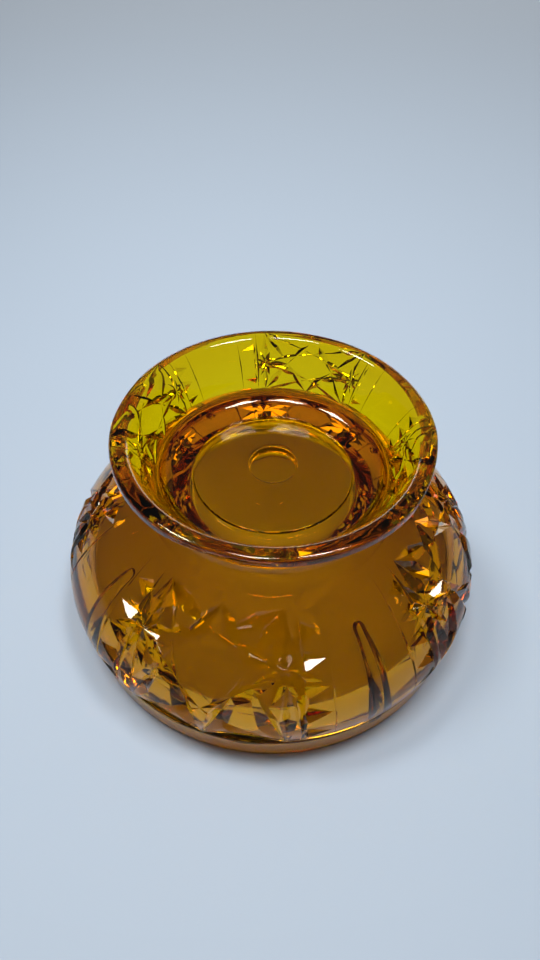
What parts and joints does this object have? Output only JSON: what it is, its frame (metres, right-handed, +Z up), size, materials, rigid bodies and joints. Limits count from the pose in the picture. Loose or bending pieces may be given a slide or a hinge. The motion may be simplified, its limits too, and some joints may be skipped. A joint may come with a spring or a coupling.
{
  "type": "glass candlestick",
  "caption": "Low pressed-glass candle stand: a star-cut hollow bowl standing on its rim, with a short neck and a flared foot that faces up as a shallow cup.",
  "frame": {"origin": "centre of the flat ring that the bowl's rim stands on", "axes": "+Z up along the axis of the neck, from the standing rim to the cup's lip; +X and +Y lie in the standing plane, and a plain bar of the pattern is centred 28 degrees from +X towards +Y"},
  "size_m": [0.1348, 0.1348, 0.076],
  "materials": {
    "amber_glass": "clear amber glass, press-moulded and fire-polished"
  },
  "bodies": {
    "root": {"bowl_rim": "amber_glass", "bowl_wall": "amber_glass", "foot_cup": "amber_glass", "foot_floor": "amber_glass"}
  },
  "joints": []
}
